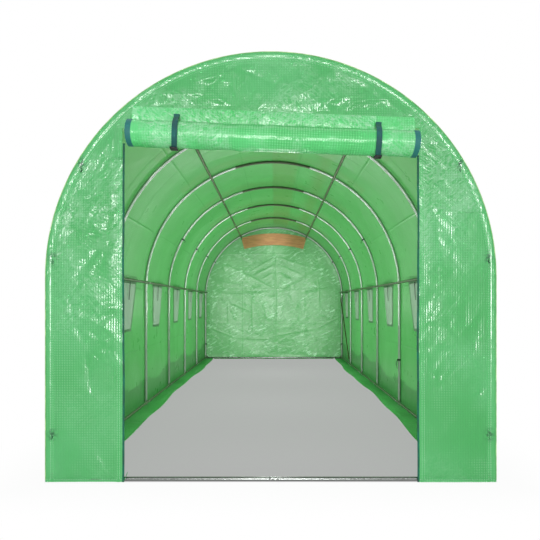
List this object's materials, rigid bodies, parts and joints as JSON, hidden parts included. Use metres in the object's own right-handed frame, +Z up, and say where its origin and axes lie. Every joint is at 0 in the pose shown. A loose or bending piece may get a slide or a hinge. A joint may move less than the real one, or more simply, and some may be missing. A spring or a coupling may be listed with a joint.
{
  "type": "polytunnel greenhouse",
  "caption": "Walk-in polytunnel greenhouse: galvanised hoops and rails under a green reinforced film cover, with netted side windows and a front doorway whose curtain is rolled up.",
  "frame": {"origin": "on the ground, at the middle of the part's box", "axes": "+X across the tunnel to the right of someone facing the doorway, +Y along it from the doorway to the rear, +Z up"},
  "size_m": [2.1682, 6.1329, 2],
  "materials": {
    "cover_film": "glossy woven reinforced film",
    "window_net": "fine netting",
    "binding_tape": "woven tape",
    "galvanised_tube": "galvanised",
    "board_wood": "plain sawn board"
  },
  "bodies": {
    "root": {"front_left_panel": "cover_film", "front_right_panel": "cover_film", "front_gable_panel": "cover_film", "rear_panel": "cover_film", "left_wall_cover": "cover_film", "right_wall_cover": "cover_film", "left_haunch_cover": "cover_film", "right_haunch_cover": "cover_film", "crown_cover": "cover_film", "left_window_rolls": "cover_film", "right_window_rolls": "cover_film", "left_ground_flap": "cover_film", "right_ground_flap": "cover_film", "rear_ground_flap": "cover_film", "door_roll": "cover_film", "left_window_nets": "window_net", "right_window_nets": "window_net", "door_roll_straps": "binding_tape", "left_door_binding": "binding_tape", "right_door_binding": "binding_tape", "sign_ties": "binding_tape", "left_roof_purlin": "galvanised_tube", "right_roof_purlin": "galvanised_tube", "left_side_rail": "galvanised_tube", "right_side_rail": "galvanised_tube", "left_ground_rail": "galvanised_tube", "right_ground_rail": "galvanised_tube", "front_sill": "galvanised_tube", "rear_sill": "galvanised_tube", "rear_corner_brace": "galvanised_tube", "front_hoop_arch": "galvanised_tube", "hoop_2_arch": "galvanised_tube", "hoop_3_arch": "galvanised_tube", "hoop_4_arch": "galvanised_tube", "hoop_5_arch": "galvanised_tube", "hoop_6_arch": "galvanised_tube", "rear_hoop_arch": "galvanised_tube", "front_hoop_legs": "galvanised_tube", "hoop_2_legs": "galvanised_tube", "hoop_3_legs": "galvanised_tube", "hoop_4_legs": "galvanised_tube", "hoop_5_legs": "galvanised_tube", "hoop_6_legs": "galvanised_tube", "rear_hoop_legs": "galvanised_tube", "sign_board": "board_wood"}
  },
  "joints": []
}
